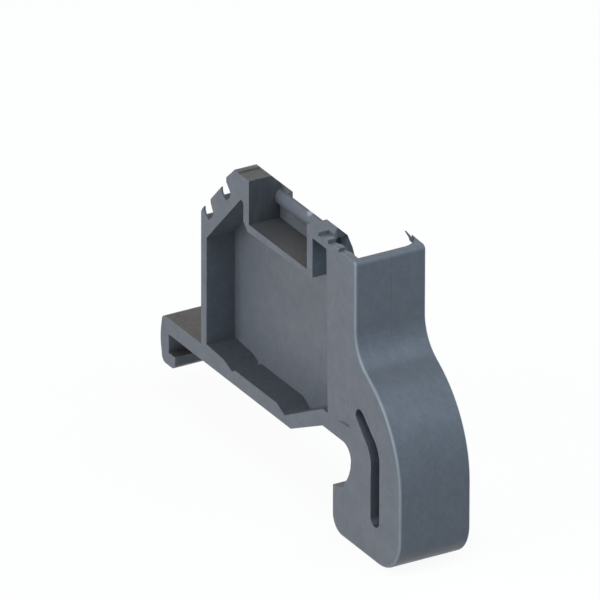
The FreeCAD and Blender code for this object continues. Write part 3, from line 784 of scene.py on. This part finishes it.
    def faces_by_edge(self) -> Dict[EdgeKey, List[int]]:
        """List the faces on each edge of the mesh.

        Returns:
            The faces' numbers by the edge's two points.
        """
        sides = {edge.key: [] for edge in self.piece.data.edges}
        for face in self.piece.data.polygons:
            for key in face.edge_keys:
                sides[key].append(face.index)
        return sides

    def width_over(self, face: bpy.types.MeshPolygon, key: EdgeKey) -> float:
        """Measure how far a face reaches from one of its edges.

        Args:
            face: the face.
            key: the two points of the edge.

        Returns:
            The distance of its farthest point from the edge's line.
        """
        points = self.piece.data.vertices
        near, far = (points[index].co for index in key)
        along = (far - near).normalized()
        return max((points[index].co - near).cross(along).length for index in face.vertices)

    def mark_edges(self) -> None:
        """Note on every face how much painted highlight it gets."""
        mesh = self.piece.data
        sides = self.faces_by_edge()
        face_highlights = [self.highlight_of(face, sides) for face in mesh.polygons]
        layer = mesh.attributes.new(name=HIGHLIGHT, type="FLOAT", domain="FACE")
        layer.data.foreach_set("value", face_highlights)

    def highlight_of(self, face: bpy.types.MeshPolygon, sides: Dict[EdgeKey, List[int]]) -> float:
        """Judge how much painted highlight one face gets.

        Args:
            face: the face.
            sides: the faces on each edge of the mesh.

        Returns:
            Up to 1 on a strip of a rounding, less on a narrow soft edge, 0 elsewhere.
        """
        mesh = self.piece.data
        reach = max((mesh.vertices[near].co - mesh.vertices[far].co).length for near, far in face.edge_keys)
        painted_highlight = 0.0
        for key in face.edge_keys:
            others = [index for index in sides[key] if index != face.index]
            if not others:
                continue
            near, far = (mesh.vertices[index].co for index in key)
            other = mesh.polygons[others[0]]
            turn = face.normal.angle(other.normal, 0.0)
            if turn < self.strip_turn or (far - near).length < reach * self.long_share:
                continue
            if (other.center - face.center).dot(face.normal) > 0.0:
                return 0.0
            if self.width_over(face, key) < self.strip_limit:
                most = 1.0 if turn < self.soft_turn else self.soft_highlight
                painted_highlight = max(painted_highlight, most * self.highlight_by_facing(face.normal))
        return painted_highlight

    def highlight_by_facing(self, normal: Vector) -> float:
        """Say how much painted highlight a rounding gets by where it faces, as light would catch it: most on
        upright edges, least on top.

        Args:
            normal: the direction it faces.

        Returns:
            A share from least_highlight to 1.
        """
        across = math.hypot(normal.x, normal.z)
        middle = (2.0 * abs(normal.y) * across) ** 2
        upright = min(1.0, self.upright_gain * abs(normal.x) / max(across, self.least_across))
        return self.least_highlight + (1.0 - self.least_highlight) * middle * upright

    def dress(self, material: bpy.types.Material) -> None:
        """Give the piece its finish."""
        self.piece.data.materials.append(material)


@dataclass
class PhotoCamera:
    """The camera at the photograph's viewing angle, a long way off."""

    name: str = "photo_camera"
    eye: Point = (1.52978, -0.8876, 0.88172)
    right: Point = (0.50133, 0.865253, 0.002192)
    up: Point = (-0.383408, 0.219876, 0.897024)
    lens: float = 1200.0
    sensor: float = 36.0
    clip: Span = (0.05, 20.0)

    def build(self) -> bpy.types.Object:
        """Place the camera and make it the scene's own.

        Returns:
            The camera.
        """
        data = bpy.data.cameras.new(self.name)
        data.lens = self.lens
        data.sensor_width = self.sensor
        data.clip_start, data.clip_end = self.clip
        camera = bpy.data.objects.new(self.name, data)
        right, up = Vector(self.right).normalized(), Vector(self.up).normalized()
        turn = Matrix((right, up, right.cross(up))).transposed().to_4x4()
        camera.matrix_world = Matrix.Translation(Vector(self.eye)) @ turn
        bpy.context.scene.collection.objects.link(camera)
        bpy.context.scene.camera = camera
        return camera


@dataclass
class Studio:
    """A plain pale floor under soft lamps, with a white surround.

    foot is the height of the end stop's lowest point, and the floor lies floor_gap below it.
    """

    foot: float
    floor_gap: float = 0.02 * MM
    floor_radius: float = 1.2
    floor_sides: int = 96
    floor_grey: float = 0.5
    seen_white: float = 0.93
    seen_shadow: float = 0.07
    ambient: float = 0.16
    lamp_distance: float = 0.5
    lamp_aim: Point = (0.005, 0.0, 0.008)
    lights: Tuple[Tuple[LampSide, float, float, Colour], ...] = (
        (LampSide.FRONT, 1.75, 0.4, (1.0, 1.0, 1.0)),
        (LampSide.RIGHT, 1.25, 0.3, (0.78, 0.91, 1.0)),
        (LampSide.FAR_RIGHT, 0.72, 0.3, (0.66, 0.86, 1.0)),
        (LampSide.BACK, 1.2, 0.4, (1.0, 1.0, 1.0)),
    )

    def floor(self) -> bpy.types.Object:
        """Make the floor.

        Returns:
            The floor, which isn't part of the end stop.
        """
        deselect_all()
        bpy.ops.mesh.primitive_circle_add(
            vertices=self.floor_sides, radius=self.floor_radius, fill_type="NGON",
            location=(0.0, 0.0, self.foot - self.floor_gap),
        )
        floor = bpy.context.object
        floor.name = "floor"
        floor.data.materials.append(self.pale("pale_floor"))
        floor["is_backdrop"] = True
        return floor

    def pale(self, name: str) -> bpy.types.Material:
        """Build the floor's material: white to the camera, with a soft shadow kept.

        Args:
            name: the material's name.

        Returns:
            The material.
        """
        material = bpy.data.materials.new(name)
        material.use_nodes = True
        nodes = Nodes(material.node_tree)
        output = nodes.add("ShaderNodeOutputMaterial")
        matte, veil = nodes.add("ShaderNodeBsdfDiffuse"), nodes.add("ShaderNodeBsdfDiffuse")
        for shader, grey in ((matte, self.floor_grey), (veil, self.seen_shadow)):
            shader.inputs["Color"].default_value = (grey, grey, grey, 1.0)
        white = nodes.add("ShaderNodeEmission")
        white.inputs["Color"].default_value = (1.0, 1.0, 1.0, 1.0)
        white.inputs["Strength"].default_value = self.seen_white
        seen = nodes.add("ShaderNodeAddShader")
        nodes.link(white.outputs[0], seen.inputs[0])
        nodes.link(veil.outputs[0], seen.inputs[1])
        nodes.link(nodes.pick_by_ray(matte, seen), output.inputs["Surface"])
        return material

    def surround(self) -> None:
        """Set the world: even light, and white where the camera looks past the floor."""
        world = bpy.data.worlds.new("studio")
        bpy.context.scene.world = world
        world.use_nodes = True
        nodes = Nodes(world.node_tree)
        output = nodes.add("ShaderNodeOutputWorld")
        even, white = nodes.add("ShaderNodeBackground"), nodes.add("ShaderNodeBackground")
        for shader, strength in ((even, self.ambient), (white, 1.0)):
            shader.inputs["Color"].default_value = (1.0, 1.0, 1.0, 1.0)
            shader.inputs["Strength"].default_value = strength
        nodes.link(nodes.pick_by_ray(even, white), output.inputs["Surface"])

    def lamps(self) -> None:
        """Hang the soft lamps, each turned to the end stop."""
        for side, power, width, colour in self.lights:
            data = bpy.data.lights.new(f"{side.name.lower()}_lamp", "AREA")
            data.shape = "SQUARE"
            data.size = width
            data.energy = power
            data.color = colour
            lamp = bpy.data.objects.new(data.name, data)
            away = Vector(side.value).normalized()
            lamp.location = away * self.lamp_distance + Vector(self.lamp_aim)
            lamp.rotation_mode = "QUATERNION"
            lamp.rotation_quaternion = away.to_track_quat("Z", "Y")
            bpy.context.scene.collection.objects.link(lamp)

    def build(self) -> None:
        """Make the floor, the surround and the lamps."""
        self.floor()
        self.surround()
        self.lamps()


def main() -> None:
    """Build the end stop's looks, the studio and the camera."""
    logging.basicConfig(level=logging.INFO, format="%(name)s: %(message)s")
    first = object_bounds()
    bpy.context.scene.view_settings.view_transform = "Standard"
    moulding = Moulding()
    piece = moulding.build()
    moulding.dress(MouldedPolyamide().material())
    LOG.info("%s: %d faces", piece.name, len(piece.data.polygons))
    Studio(foot=first[0].z).build()
    LOG.info("studio ready")
    PhotoCamera().build()
    LOG.info("camera ready")


if __name__ == "__main__":
    main()
